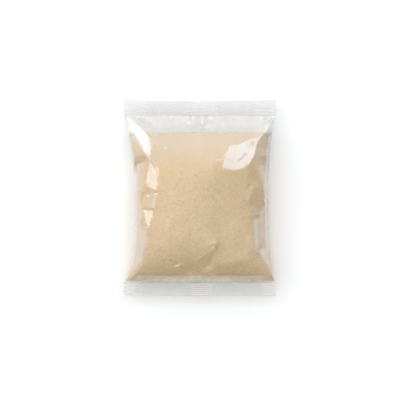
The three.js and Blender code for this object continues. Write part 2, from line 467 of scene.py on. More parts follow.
FACETS: tuple[Facet, ...] = (
    # each has its corners, slope, haze, softness and blur, and its name beside or above it; its
    # haze is painted light: a painted highlight on lit facets and glints, a paler veil on shaded
    # film, and painted shade where it is below nought

    # ---- broad, even patches
    # clear strip under the top seal
    Facet((-56.9, 66.6, 57.2, 66.6, 54.1, 57.5, -52.9, 57.5), None, 0.26, 0.9, 6),
    Facet((16, 23.8, 37.4, 23.8, 39, 6.4, 37.4, -3.9, 39.8, -15.8, 43, -39.6, 20.8, -45.9),
           (-0.17, 0.08), 0, 16),  # right of the front panel

    # ---- left shoulder, from the top seal down
    Facet((-57.4, 65.3, -48.2, 65.3, -38.7, 58.7, -33.1, 45.2, -39.8, 48.9, -47.5, 56.6),
           (0.06, -0.56)),  # above the band
    Facet((-38.4, 38.9, -33.9, 41.7, -28.4, 39.7, -26, 31.7, -28.4, 23, -34.7, 26.7, -38.8, 29.8),
           (0.23, -0.16), 0, 1.6),  # inside the band
    # grey film by the band
    Facet((-59.6, 65, -56, 58.7, -52.6, 50.3, -55.3, 50.3, -58.3, 58.7), (1.1, -0.25), 0.22, 0.7),
    Facet((-58.5, 64.9, -48.1, 55.9, -40.5, 48.7, -38.5, 39.7, -38.7, 28.2, -44.3, 36.9,
           -52.2, 50.2, -55.8, 58.7), BAND_TILT, 0.42, 0.7, 1),  # band
    Facet((-48.6, 53.1, -40.5, 48.7, -38.5, 39.7, -38.7, 28.2, -44.3, 36.9), (0.56, -0.42), 0.42,
           0.7, 1),  # foot of the band
    # tip between the band and the second facet
    Facet((-40.5, 48.7, -34.6, 41.9, -38.8, 39.4), (0.33, -0.24), 0.15, 1.4),
    # left of band, upper
    Facet((-52.8, 49.8, -44.9, 37.1, -42.5, 33.3, -51.4, 33.3), (0.5, 0.3), -0.12),
    # left of band, lower
    Facet((-51.4, 33.3, -42.5, 33.3, -40, 29.8, -50.2, 26.8), (0.55, 0.65), -0.1),
    Facet((-50.2, 26.6, -39.8, 29.4, -41.1, 22.2, -43, 13.5, -42.6, 4.8, -49.8, 4.8), (1, -0.3),
           0.16, 0.9),  # below fold
    Facet((-38.3, 29, -33.1, 27.8, -25.2, 20.6, -25.2, 4.8, -33.9, 4.4, -32.7, 8.9, -32.8, 13.5,
           -33.9, 18.7, -35.8, 23.8), (0.25, -0.06), 0, 1.2),  # inside the second facet
    Facet((-39.2, 30.2, -38, 28.1, -36.1, 23.8, -34.2, 18.7, -33.1, 13.5, -32.9, 8.9, -34.1, 5.1,
           -39.7, 8.8, -42.4, 13.5, -40.5, 22.5), SIDE_TILT, 0.26, 0.7, 1),  # second facet
    # dark foot of the second facet
    Facet((-40.3, 8.4, -34.4, 4.6, -41.9, 4.2, -43, 9.4), (0.6, 0.3), 0, 0.7),
    # third, plain
    Facet((-42, 3.8, -35.2, 4, -37.3, -4.3, -38.4, -7.6, -43.3, -7.4), (0.6, 0), 0.15),
    Facet((-35.3, 4.2, -33.1, 4.2, -35.8, -7.6, -38, -7.6), SIDE_TILT, 0.4, 0.6, 1),  # crease line
    Facet((-41.4, 2.6, -39.6, 2.6, -39.6, 0.8, -41.4, 0.8), SIDE_TILT, 0, 0.6),  # bright dot
    # groove above triangle
    Facet((-43.4, -7.6, -37.1, -7.6, -37.1, -9, -43.4, -9), (0.55, 0.45), 0, 0.6),
    Facet((-35.3, -7.9, -26.8, -7.9, -25.2, -22.2, -30, -28.5, -39.8, -26.9, -38.3, -20.3,
           -36.8, -14.6), (0.27, 0.04), 0, 1.2),  # inside the triangle
    Facet((-44.3, -9.6, -36.1, -9.6, -37.4, -14.6, -38.5, -20.3, -40.7, -25.2, -43, -15),
           SIDE_TILT, 0.32, 0.6, 1),  # triangle
    Facet((-51.2, -24.5, -41.4, -24.5, -41.8, -34, -43.1, -42, -45.1, -49.1, -50.3, -56.6,
           -56.5, -65.2, -57.2, -65.4, -54.1, -48.3), None, 0.4, 0.9, 3.5),  # lower left film
    Facet((-50.6, 4.8, -43.4, 4.8, -43.8, -7.4, -44.5, -11.1, -42.6, -19, -41.1, -25.3,
           -50.6, -26.1), (0.8, -0.15), 0.32, 0.9, 5),  # left lower panel
    Facet((-52.5, 23.8, -48.6, 25.4, -47, 14.3, -46.6, -6.3, -47, -26.9, -53.7, -33.2,
           -54.5, 14.3), None, 0.36, 3.5, 6),  # left rim

    # ---- right shoulder patch
    Facet((29.3, 40.9, 33.7, 43.9, 38, 46, 43.3, 46.6, 46, 46.2, 43.9, 38.6, 41.7, 32, 38, 26.3,
           33.6, 23, 27.9, 21.3, 24.1, 21.8), PATCH_TILT, 0.4, 0.8, 1),  # patch
    Facet((26.3, 41.7, 29.3, 40.9, 24.1, 21.8, 16.4, 23.5, 20.7, 33.3, 23.1, 39.5),
           (-0.19, -0.34), 0.34, 2.6, 1),  # lobe
    # upper right of the patch
    Facet((36.6, 46, 43.3, 46.6, 46, 46.2, 43, 39.7, 37.4, 39.7), None, 0.12, 0.9, 5),
    Facet((40.4, 44, 43.4, 44.3, 43.1, 41.7, 40.7, 41.3), (-0.2, -0.55), 0.1, 0.7),  # blotch
    Facet((34.4, 35.2, 36.8, 35.2, 36.8, 33.3, 34.4, 33.3), (-0.5, -0.1), 0.2),  # small dent
    Facet((29.6, 29.7, 34.2, 33.2, 35, 32.2, 30.4, 28.6), (-0.5, -0.1), 0.2),  # long dent

    # ---- bright creases from the top right corner
    *glints(PATCH_TILT,
            (0.15, 0.5, (54.4, 63, 55.5, 62.2, 47.2, 52.8, 46.1, 53.6)),
            (0.25, 0.6, (53.7, 59.3, 55.2, 58.9, 51.4, 51.7, 50.1, 52.4)),
            (0.08, 0.5, (50.1, 52.4, 51.6, 51.7, 47.1, 46.5, 45.3, 45.1, 44.7, 46.3)),
            (0.1, 0.6, (49.3, 64.7, 55.3, 65.1, 55.5, 64.1, 49.5, 63.8)),
            (0.1, 0.6, (49.8, 62.7, 52.9, 63.3, 53.1, 62.3, 49.9, 61.9)),
            (0.1, 0.6, (56, 64.1, 57.2, 64.1, 57.2, 61.9, 56, 61.9))),

    # ---- right side, from the top seal down
    # dark film below the corner
    Facet((46.4, 44.8, 50, 50, 54.1, 50.4, 54.1, 39.7, 45.2, 40.5), (-0.8, 0.1), -0.07, 0.9),
    # pale film below that
    Facet((44.9, 40.1, 53.7, 39.3, 52.9, 33.3, 43, 32.5), (-0.95, -0.15), 0.08, 0.9),
    Facet((46.6, 33.1, 52.9, 33.1, 52.9, 26.2, 49.6, 26), (-0.85, 0.5), -0.05, 0.7),  # dark square
    Facet((38, 26.6, 40.8, 28.9, 46.1, 18.3, 46.6, 13.1, 45.8, 10.7, 40.9, 3.1, 40.3, 14.1),
           (-0.7, 0), 0.05, 0.7),  # under the patch
    # crease shadow
    Facet((36.9, 25.4, 38.9, 26.2, 40.9, 15.9, 40.6, 9.6, 38.2, 9.6), (-0.55, 0.5), 0, 1),
    Facet((40.8, 28.9, 45.7, 30.2, 49.6, 25.4, 53.4, 25.4, 53.9, 13.5, 46.8, 13.5, 47.1, 17.5),
           (-0.95, -0.1), 0.3, 1.2, 6),  # upper pale strip
    # lower pale strip
    Facet((45.7, 13.5, 53.9, 13.5, 54.3, -6.3, 50.7, -4.3, 49.3, 3.5), None, 0.26, 1.2, 6),
    Facet((40.9, 3.1, 45.8, 10.7, 47.4, 7.6, 50.3, 2.8, 51.4, -2.3, 48.8, -10.3, 41.7, -5.3,
           37.6, -2.7), (-0.7, 0.35), 0.05, 0.7),  # dark facet
    Facet((38.5, -5.7, 41.7, -5.5, 48, -10.4, 46.6, -13, 39.9, -13.1), (-0.65, -0.1), 0.26, 0.9,
           5),  # pale facet
    Facet((43.2, -13.4, 46.9, -13.6, 46.6, -15.8, 43.4, -15.5), (-0.75, 0.35), 0, 0.9),  # dark spot
    Facet((41.4, -15.8, 46.4, -16.2, 46.8, -38, 46.6, -42.8, 43.4, -41.5, 41.8, -33.2,
           41.8, -24.9), (-0.65, -0.12), 0.54, 1.8, 4),  # pale upright strip
    # side film
    Facet((46.9, -11.1, 51.5, -4.7, 53.4, -6.3, 54.5, -45.9, 46.9, -40.8), None, 0.33, 1.2, 4),
    Facet((46.1, -41.6, 50.1, -39.6, 53.7, -47.5, 59.4, -65.7, 54.2, -56.1, 48.8, -46.6),
           (-0.55, -0.25), 0.56, 1),  # lower right film

    # ---- folds above the bottom seal
    # lit side of the fold
    Facet((-3.5, -47.7, 9.6, -36, 12.8, -35.6, 10.9, -38.2, 0.8, -46.7, -3, -49.4), (0.04, 0.42)),
    Facet((-1.7, -49.3, 1.7, -46.7, 11.1, -38.6, 11.7, -42, 6.5, -53.7, 2.5, -53.9), (-0.15, 0.8),
           -0.08),  # dark side of the fold
    # dark fold foot
    Facet((-13.6, -53.2, 0.5, -52.7, -1.7, -57.8, -11.7, -57), (0, 0.85), -0.06, 1.2),
    Facet((-10.9, -57.8, -1.7, -58.1, 1, -62.6, -7.8, -63), (0, 0.6), 0.03, 1.2),  # pale foot
    # small fold, lit
    Facet((5.7, -59.1, 13.6, -54.6, 17.6, -55.4, 11.3, -61.8, 5.7, -61.8), (0, 0.62), 0.02, 1.2),
    Facet((5.4, -60.2, 13.3, -55.8, 12.4, -58.1, 8.1, -61.8), (-0.2, 1.1)),  # small fold, dark
    # light sliver
    Facet((-18.4, -52.1, -16, -52.9, -16.2, -53.7, -18.9, -53.1), (0.3, -0.2), 0.15, 0.7),

    # ---- gathers under the top seal
    *glints(BAND_TILT,
            (0.2, 0.8, (-50.4, 66.5, -47.2, 66.5, -47.2, 63.6, -50.3, 63.6)),
            (0.15, 0.7, (-20.6, 65.2, -18.4, 65.2, -18.4, 63.9, -20.6, 63.9)),
            (0.15, 0.7, (-22.1, 63.7, -20.7, 63.7, -20.7, 62.3, -22.1, 62.3)),
            (0.35, 0.7, (-6.5, 64.9, -4.7, 64.9, -4.8, 62.2, -6.3, 62.2)),
            (0.15, 0.7, (-9.7, 63.9, -8.3, 63.9, -8.5, 58.7, -10.2, 58.7)),
            (0.35, 0.6, (1.4, 64.9, 2.5, 64.9, 2.5, 58.9, 1.5, 58.9)),
            (0.35, 0.7, (7.3, 64.7, 10.6, 63.9, 9.4, 62, 7.5, 62.7)),
            (0.15, 0.6, (28.7, 65, 29.9, 65, 29.8, 62.2, 28.8, 62.2))),
    # a faint dent below them
    Facet((4.1, 57.3, 8.9, 57.3, 7.3, 55.8, 4.9, 55.8), (-0.17, -0.3), 0.04, 1.6),
)

TOP_PUCKERS: tuple[Pucker, ...] = (
    Pucker(-49.0, 5, 1.3, 0.40), Pucker(-38.8, 4, 1.0, 0.25), Pucker(-21.9, 5, 1.1, 0.30),
    Pucker(-19.2, 4, 0.9, 0.25), Pucker(-9.2, 9, 1.0, 0.45, 1.0), Pucker(-5.6, 8, 1.3, 0.55),
    Pucker(2.0, 12, 0.9, 0.45), Pucker(8.8, 8, 1.8, 0.55, -0.8), Pucker(29.2, 7, 0.8, 0.35),
    Pucker(51.6, 8, 1.5, 0.45, -2.0), Pucker(56.6, 7, 0.9, 0.35, -1.0),
)

BOTTOM_PUCKERS: tuple[Pucker, ...] = (
    Pucker(-44.0, 7, 1.2, 0.35), Pucker(-27.0, 8, 1.4, 0.40, 1.5), Pucker(-11.0, 7, 1.6, 0.55),
    Pucker(-4.5, 8, 1.0, 0.50, -1.0), Pucker(3.0, 9, 1.1, 0.60, 1.5), Pucker(10.5, 7, 1.4, 0.5),
    Pucker(25.0, 8, 1.2, 0.40, -1.5), Pucker(41.0, 7, 1.3, 0.35),
)


# ---------------------------------------------------------------------------- skins


@dataclass
class PouchSkin:
    """Grids of points over the front and the back of the filled pouch, in millimetres.

    Rows is its count of stations. Side, facet and panel are steps over parts of the front, and
    under and flat over parts of the back, which stands off by seam_step over the back seam.
    """

    form: PouchForm
    rows: int = 250
    side: int = 30
    facet: int = 12
    panel: int = 150
    under: int = 14
    flat: int = 48
    crown_power: float = 2.3
    seam_step: float = 0.3
    seam_fade: float = 3.0

    @cached_property
    def stations(self) -> Grid:
        """Stations from the bottom mouth to the top one, a little closer near the mouths."""
        t = np.linspace(0, 1, self.rows)
        eased = 0.65 * t + 0.35 * smooth(t)
        return self.form.bottom_mouth + eased * (self.form.top_mouth - self.form.bottom_mouth)

    def edge(self, place: Line, rise: Line, lift: float = 0.0) -> Grid:
        """The (x, z) points of a line along the pouch, one at each station."""
        y, form = self.stations, self.form
        return np.stack((form.line(place, y), form.line(rise, y) + lift), axis=1)

    @staticmethod
    def bend(start: Grid, pull: Grid, end: Grid, steps: int, last: bool = False) -> Grid:
        """Quadratic curves from start to end, one for each station.

        Args:
            start: first points, one row each, as (x, z).
            pull: control points.
            end: last points.
            steps: how many steps each takes.
            last: whether the end point is kept.

        Returns:
            Points as an array of stations by steps by 2.
        """
        t = np.linspace(0, 1, steps + 1)[: None if last else -1][None, :, None]
        a, b, c = start[:, None, :], pull[:, None, :], end[:, None, :]
        return (1 - t) ** 2 * a + 2 * t * (1 - t) * b + t * t * c

    def crowned(self, left: Grid, right: Grid) -> Grid:
        """The crowned front panel between its two creases.

        Args:
            left: the points of its left crease, as (x, z).
            right: the points of its right crease.

        Returns:
            Points as an array of stations by steps by 2.
        """
        t = np.linspace(0, 1, self.panel + 1)[None, :-1]
        x, base = (left[:, k:k + 1] + t * (right[:, k:k + 1] - left[:, k:k + 1]) for k in (0, 1))
        rise = self.form.line(Line.CROWN_RISE, self.stations)[:, None]
        crown = rise - (left[:, 1:] + right[:, 1:]) / 2
        swell = 1 - np.abs(2 * t - 1) ** self.crown_power
        return np.stack((x, base + crown * swell), axis=2)

    def skinned(self, *parts: Grid) -> Grid:
        """Parts of a section joined into points, as stations by columns by 3."""
        section = np.concatenate(parts, axis=1)
        y = np.repeat(self.stations[:, None], section.shape[1], axis=1)
        return np.stack((section[:, :, 0], y, section[:, :, 1]), axis=2)

    @cached_property
    def front(self) -> Grid:
        """The front from the left edge to the right edge, with its folds and puckers.

        Returns:
            Points as an array of stations by columns by 3.
        """
        lift = self.form.film_gap / 2
        left_edge = self.edge(Line.LEFT_EDGE, Line.EDGE_RISE)
        right_edge = self.edge(Line.RIGHT_EDGE, Line.EDGE_RISE)
        left_crease = self.edge(Line.LEFT_CREASE, Line.LEFT_CREASE_RISE, lift)
        facet_line = self.edge(Line.FACET_LINE, Line.FACET_LINE_RISE, lift)
        right_crease = self.edge(Line.RIGHT_CREASE, Line.RIGHT_CREASE_RISE, lift)

        def pull(edge: Grid, crease: Grid) -> Grid:
            """Control point that stands a side upright at the packet's outline."""
            return np.stack((edge[:, 0], (edge[:, 1] + crease[:, 1]) / 2), axis=1)

        middle = (left_crease + facet_line) / 2
        points = self.skinned(
            self.bend(left_edge, pull(left_edge, left_crease), left_crease, self.side),
            self.bend(left_crease, middle, facet_line, self.facet),
            self.crowned(facet_line, right_crease),
            self.bend(right_crease, pull(right_edge, right_crease), right_edge, self.side, True))
        points[:, :, 2] += self.relief(points)
        return points

    @cached_property
    def facet_field(self) -> FacetField:
        """The facets over the body, from mouth to mouth and edge to edge."""
        low, high = self.form.bottom_mouth, self.form.top_mouth
        return FacetField(FACETS, (-HALF_WIDTH, low), (HALF_WIDTH, high))

    def relief(self, points: Grid) -> Grid:
        """What facets, folds, puckers and fine crinkles add to the front.

        Args:
            points: the plain front.

        Returns:
            The added heights, which die away at the outline.
        """
        form, x, y = self.form, points[:, :, 0], points[:, :, 1]
        from_top, from_bottom = form.top_mouth - y, y - form.bottom_mouth
        columns = np.linspace(0, 1, points.shape[1])[None, :]
        body, inner = (
            smooth(columns / margin) * smooth((1 - columns) / margin)
            for margin in (RELIEF_MARGIN, FACET_MARGIN))
        body = body * smooth(from_top / TOP_MARGIN) * smooth(from_bottom / BOTTOM_MARGIN)
        relief = sum(fold.lift(x, y) for fold in FRONT_FOLDS) * body
        relief += self.facet_field.relief(points) * inner
        relief += sum(p.lift(x, from_top) for p in TOP_PUCKERS)
        relief += sum(p.lift(x, from_bottom) for p in BOTTOM_PUCKERS)
        for height, size, seed, skew in CRINKLES:
            relief += body * height * ripple(x + skew * y, y, size, seed)
        return relief + form.seal_sag(x, y)

    @cached_property
    def back(self) -> Grid:
        """The back from the right edge to the left edge.

        Returns:
            Points as an array of stations by columns by 3.
        """
        form, y = self.form, self.stations
        low = form.low(y) * (1 - form.film_gap / (2 * SEAL_HEIGHT))
        left_edge = self.edge(Line.LEFT_EDGE, Line.EDGE_RISE)
        right_edge = self.edge(Line.RIGHT_EDGE, Line.EDGE_RISE)
        left_flat, left_pull, right_flat, right_pull = (
            np.stack((x, low), axis=1)
            for x in (form.line(Line.LEFT_FLAT, y), left_edge[:, 0],
                      form.line(Line.RIGHT_FLAT, y), right_edge[:, 0]))
        points = self.skinned(
            self.bend(right_edge, right_pull, right_flat, self.under),
            self.bend(right_flat, (right_flat + left_flat) / 2, left_flat, self.flat),
            self.bend(left_flat, left_pull, left_edge, self.under, True))
        off_seam = np.abs(points[:, :, 0]) - form.seam_width / 2
        points[:, :, 2] += self.seam_step * (1 - smooth(off_seam / self.seam_fade))
        points[:, :, 2] += form.seal_sag(points[:, :, 0], points[:, :, 1])
        return points


# ---------------------------------------------------------------------------- mesh helpers


def linked(name: str, data: bpy.types.ID) -> bpy.types.Object:
    """A new object in the scene, at the origin, that carries some data."""
    made = bpy.data.objects.new(name, data)
    bpy.context.scene.collection.objects.link(made)
    return made


def smooth_piece(name: str, mesh: bpy.types.Mesh) -> bpy.types.Object:
    """A new object in the scene that carries a mesh, smooth shaded."""
    mesh.polygons.foreach_set("use_smooth", [True] * len(mesh.polygons))
    mesh.update()
    return linked(name, mesh)


def loft(name: str, rings: Grid, material: bpy.types.Material) -> bpy.types.Object:
    """A closed piece over rings of points, with a flat face over each end.

    Args:
        name: the piece's name.
        rings: rings by points round each by 3, in millimetres.
        material: what the piece is dressed in.

    Returns:
        The piece.
    """
    count, around = rings.shape[:2]
    place = np.arange(around)
    row = np.arange(count - 1)[:, None] * around
    a, b = row + place, row + (place + 1) % around
    quads = np.stack((a, b, b + around, a + around), axis=2).reshape(-1, 4)
    ends = [place[::-1].tolist(), (place + (count - 1) * around).tolist()]
    mesh = bpy.data.meshes.new(name)
    mesh.from_pydata((rings.reshape(-1, 3) * MM).tolist(), [], quads.tolist() + ends)
    mesh.validate()
    mesh.materials.append(material)
    return smooth_piece(name, mesh)


def mark(mesh: bpy.types.Mesh, name: str, values: Grid) -> None:
    """Gives each point of a mesh a number, as a named attribute."""
    made = mesh.attributes.new(name, "FLOAT", "POINT")
    made.data.foreach_set("value", values.ravel().astype(np.float32))


# ---------------------------------------------------------------------------- node helpers


def arithmetic(operation: str, turned: bool = False) -> Callable[..., "Wire"]:
    """A method for Wire that adds a Math node.

    Args:
        operation: the node's operation.
        turned: whether the wire comes after the other value.

    Returns:
        The method.
    """

    def method(wire: "Wire", *others: "Wire | float") -> "Wire":
        """What the node makes of the wire and any others."""
        return wire.sketch.math(operation, *((*others, wire) if turned else (wire, *others)))

    return method


@dataclass(frozen=True)
class Wire:
    """What an output socket gives. Arithmetic on it adds Math nodes to its tree."""

    sketch: "NodeSketch"
    socket: bpy.types.NodeSocket

    __add__ = arithmetic("ADD")
    __sub__ = arithmetic("SUBTRACT")
    __rsub__ = arithmetic("SUBTRACT", turned=True)
    __mul__ = arithmetic("MULTIPLY")
    __truediv__ = arithmetic("DIVIDE")
    __pow__ = arithmetic("POWER")
    __abs__ = arithmetic("ABSOLUTE")
    at_least = arithmetic("MAXIMUM")
    at_most = arithmetic("MINIMUM")
    cosine = arithmetic("COSINE")
    exponent = arithmetic("EXPONENT")


@dataclass(frozen=True)
class NodeSketch:
    """Adds nodes to a shader or geometry tree and joins them in one step."""

    tree: bpy.types.NodeTree

    def feed(self, socket: bpy.types.NodeSocket, value: object) -> None:
        """Joins a wire to an input, or sets the input to a constant."""
        if isinstance(value, Wire):
            self.tree.links.new(value.socket, socket)
        else:
            socket.default_value = value

    def add(self, kind: str, inputs: dict[object, object], **settings: object) -> list[Wire]:
        """Adds a node with its settings set and its inputs fed.

        Args:
            kind: the node's type.
            inputs: its inputs by name or number, each a wire or a constant.
            settings: its own properties.

        Returns:
            Its outputs.
        """
        node = self.tree.nodes.new(kind)
        for name, value in settings.items():
            setattr(node, name, value)
        for name, value in inputs.items():
            self.feed(node.inputs[name], value)
        return [Wire(self, socket) for socket in node.outputs]

    def math(self, operation: str, *values: object) -> Wire:
        """The result of a Math node on wires or numbers."""
        return self.add("ShaderNodeMath", dict(enumerate(values)), operation=operation)[0]

    def place(self) -> Wire:
        """The place on the piece, in its Object coordinates."""
        return self.add("ShaderNodeTexCoord", {})[3]

    def axes(self, place: Wire) -> list[Wire]:
        """A place's X, Y and Z."""
        return self.add("ShaderNodeSeparateXYZ", {"Vector": place})

    def joined(self, x: object, y: object, z: object = 0.0) -> Wire:
        """A place from its X, Y and Z."""
        return self.add("ShaderNodeCombineXYZ", {"X": x, "Y": y, "Z": z})[0]

    def ramp(self, value: Wire, low: object, high: object) -> Wire:
        """A value carried smoothly from low..high to 0..1 and held there."""
        inputs = {"Value": value, "From Min": low, "From Max": high}
        return self.add("ShaderNodeMapRange", inputs, interpolation_type="SMOOTHSTEP")[0]

    def ramp_mm(self, value: Wire, low: float, high: float) -> Wire:
        """A length carried smoothly from low..high, in millimetres, to 0..1."""
        return self.ramp(value, low * MM, high * MM)

    def noise(self, place: Wire, size_mm: float, detail: float = 2.0) -> Wire:
        """Noise with lumps of about a size in millimetres, over places in metres."""
        inputs = {"Vector": place, "Scale": 1 / (size_mm * MM), "Detail": detail}
        return self.add("ShaderNodeTexNoise", inputs)[0]

    def blend(self, share: Wire, first: object, second: object) -> Wire:
        """A mix of two colours, each a wire or a tuple of three."""
        first, second = ((*c, 1) if isinstance(c, tuple) else c for c in (first, second))
        return self.add("ShaderNodeMix", {0: share, 6: first, 7: second}, data_type="RGBA")[2]

    def bump(self, height: Wire, distance_mm: float, strength: float = 1.0) -> Wire:
        """The normal of a bump of a height in millimetres."""
        inputs = {"Height": height, "Distance": distance_mm * MM, "Strength": strength}
        return self.add("ShaderNodeBump", inputs)[0]

    def principled(self, colour: object, roughness: float, **inputs: object) -> Wire:
        """A Principled shader; spaces in the names of its inputs are underscores."""
        named = {name.replace("_", " "): value for name, value in inputs.items()}
        named |= {"Base Color": colour, "Roughness": roughness}
        return self.add("ShaderNodeBsdfPrincipled", named)[0]


def fresh_material(name: str) -> tuple[bpy.types.Material, NodeSketch, bpy.types.NodeSocket]:
    """An empty node material.

    Args:
        name: the material's name.

    Returns:
        The material, its sketch and the socket that its surface feeds.
    """
    material = bpy.data.materials.new(name)
    material.use_nodes = True
    tree = material.node_tree
    tree.nodes.clear()
    output = tree.nodes.new("ShaderNodeOutputMaterial")
    return material, NodeSketch(tree), output.inputs["Surface"]


@dataclass
class NodeGroup:
    """A node group with named number inputs and outputs, drawn with a sketch."""

    name: str
    inputs: dict[str, float]
    outputs: tuple[str, ...] = ()

    KIND = "ShaderNodeTree"
    GEOMETRY_SIDES = ()

    def __post_init__(self) -> None:
        """Starts the group with its sockets."""
        self.tree = bpy.data.node_groups.new(self.name, self.KIND)
        for side in self.GEOMETRY_SIDES:
            self.socket("Geometry", side, "NodeSocketGeometry")
        self.keys = {name: self.socket(name, "INPUT") for name in self.inputs}
        for name in self.outputs:
            self.socket(name, "OUTPUT")
        self.sketch = NodeSketch(self.tree)
        start = self.tree.nodes.new("NodeGroupInput")
        self.value = {socket.name: Wire(self.sketch, socket) for socket in start.outputs}
        self.end = self.tree.nodes.new("NodeGroupOutput").inputs

    def socket(self, name: str, side: str, kind: str = "NodeSocketFloat") -> str:
        """Adds an input or an output and gives its identifier."""
        return self.tree.interface.new_socket(name, in_out=side, socket_type=kind).identifier


# ---------------------------------------------------------------------------- shared effects


class SharedEffect(NodeGroup):
    """A shader node group that more than one material places, each with its own values."""

    def put(self, sketch: NodeSketch, values: dict[str, float]) -> list[Wire]:
        """The group's outputs where it is placed in a material with some values."""
        return sketch.add("ShaderNodeGroup", values, node_tree=self.tree)


def dust_haze() -> SharedEffect:
    """A pale veil on the film, thickest beyond the ends and sides of the filling: partly a dusting
    of ginger, partly painted light over the film's shade and a painted reflection over the top.

    Returns:
        A group whose Haze is the share of the film that the veil covers and whose Tan is 1
        where the veil has the powder's colour.
    """
    effect = SharedEffect("dust_haze", dict.fromkeys(DUST_AND_LIGHT_STRIPS, 0.0), ("Haze", "Tan"))
    sketch, value = effect.sketch, effect.value
    ramp, place = sketch.ramp_mm, sketch.place()
    x, y, _ = sketch.axes(place)
    along = y + (sketch.noise(place, 3.0, 4.0) * (3.6 * MM) - 1.8 * MM)
    back = along * -1
    # painted light: bells just past the top and the bottom of the filling paint over the shade
    # there
    top_edge = ramp(along, 49.0, 52.6) * ramp(along, 61.0, 54.5)
    bottom_edge = ramp(back, 59.8, 62.2) * ramp(back, 66.6, 63.8) * ramp(abs(x), 54, 47)
    # a paler veil towards the top, the bottom end and the sides: some dusting, painted light over
    # the shaded film at the bottom and sides, and a painted reflection over the top
    haze = ramp(y, 16, 48) * value["Top"] + value["All Over"]
    haze = haze + ramp(y * -1, 57, 65) * value["Bottom"] + ramp(abs(x), 41, 50) * value["Sides"]
    haze = haze * (sketch.noise(place, 9.0, 4.0) * 0.4 + 0.8)
    haze = haze + top_edge * value["Top Edge"] + bottom_edge * value["Bottom Edge"]
    sketch.feed(effect.end["Haze"], haze)
    sketch.feed(effect.end["Tan"], ramp(y, 40, 6) * ramp(back, 67, 62.5))
    return effect


def ginger_grain() -> SharedEffect:
    """The mottled colour masks and the relief of ground ginger.

    Returns:
        A group whose Light and Speck are masks and whose Height is a relief.
    """
    effect = SharedEffect("ginger_grain", {"Contrast": 1.0}, ("Light", "Speck", "Height"))
    sketch, contrast, place = effect.sketch, effect.value["Contrast"], effect.sketch.place()
    drift = sketch.ramp(sketch.noise(place, 14), 0.35, 0.65)
    mottle = sketch.ramp(sketch.noise(place, 3.2, 2), 0.36, 0.64)
    grit = sketch.ramp(sketch.noise(place, 1.3, 1), 0.38, 0.62)
    fine = sketch.ramp(sketch.noise(place, 0.6, 1), 0.34, 0.66)
    speck = sketch.ramp(sketch.noise(place, 1.5, 1), 0.61, 0.70)
    light = drift * 0.12 + mottle * 0.26 + grit * 0.42 + fine * 0.20
    sketch.feed(effect.end["Light"], light * contrast)
    sketch.feed(effect.end["Speck"], speck * contrast)
    sketch.feed(effect.end["Height"], sketch.noise(place, 2.2) * 2.0 + sketch.noise(place, 0.7))
    return effect


# ---------------------------------------------------------------------------- finishes


@dataclass(frozen=True)
class ClearFilm:
    """Thin clear packing film: it lets light through and mirrors more of it at a glance.

    Attributes:
        name: the material's name.
        effect: the shared veil of dusting and painted light.
        tint: what the film lets through head on.
        head_on: the share that one face of the film mirrors head on.
        roughness: how much its mirror image is blurred.
        all_over: the share of it that haze covers everywhere, as the next five do where they say.
        white: the colour of the veil away from the filling.
        tan: the colour of the veil close to the filling.
        dust_and_light_share: how much of the rest of its paler part has the tan colour too.
        crinkle_size: size of its fine crinkles, in millimetres.
        crinkle_depth: height of its fine crinkles, in millimetres.
    """

    name: str
    effect: SharedEffect
    tint: float = 0.955
    head_on: float = 0.04
    roughness: float = 0.07
    all_over: float = 0.0
    top: float = 0.0
    bottom: float = 0.0
    sides: float = 0.0
    top_edge: float = 0.0
    bottom_edge: float = 0.0
    white: Colour = (0.95, 0.94, 0.92)
    tan: Colour = (0.94, 0.81, 0.63)
    dust_and_light_share: float = 0.0
    crinkle_size: float = 2.4
    crinkle_depth: float = 0.02

    def whitening_and_painted_light(self, sketch: NodeSketch) -> Wire:
        """The share that is whitened beyond the veil: here the facets' painted highlights and
        shade.
        """
        return sketch.add("ShaderNodeAttribute", {}, attribute_name=FACET_HAZE_AND_PAINTED_LIGHT)[2]

    def material(self) -> bpy.types.Material:
        """The film's material.

        Returns:
            A Mix of a Transparent shader with the film's mirror and its pale veil of painted light.
        """
        material, sketch, surface = fresh_material(self.name)
        facing = sketch.add("ShaderNodeLayerWeight", {"Blend": 0.5})[1]
        face = facing ** 5 * (1 - self.head_on) + self.head_on
        mirrored = face * 2 / (face + 1)
        shares = (self.all_over, self.top, self.bottom, self.sides, self.top_edge,
                  self.bottom_edge)
        # the veil: dusting and painted light from the shared effect, and the facets' painted
        # highlights and shade
        haze, near = self.effect.put(sketch, dict(zip(DUST_AND_LIGHT_STRIPS, shares)))
        whitened = self.whitening_and_painted_light(sketch)
        covered = (haze + whitened).at_least(0.0)
        tan = (whitened * self.dust_and_light_share + haze) * near / covered.at_least(0.001)
        solid = covered.at_most(0.96) * (1 - mirrored) + mirrored
        crinkle = sketch.noise(sketch.place(), self.crinkle_size, 3.0)
        skin = sketch.principled(
            sketch.blend(tan, self.white, self.tan), self.roughness, Metallic=mirrored / solid,
            Normal=sketch.bump(crinkle, self.crinkle_depth))
        clear = sketch.add("ShaderNodeBsdfTransparent", {"Color": (self.tint,) * 3 + (1,)})[0]
        sketch.feed(surface, sketch.add("ShaderNodeMixShader", {0: solid, 1: clear, 2: skin})[0])
        return material


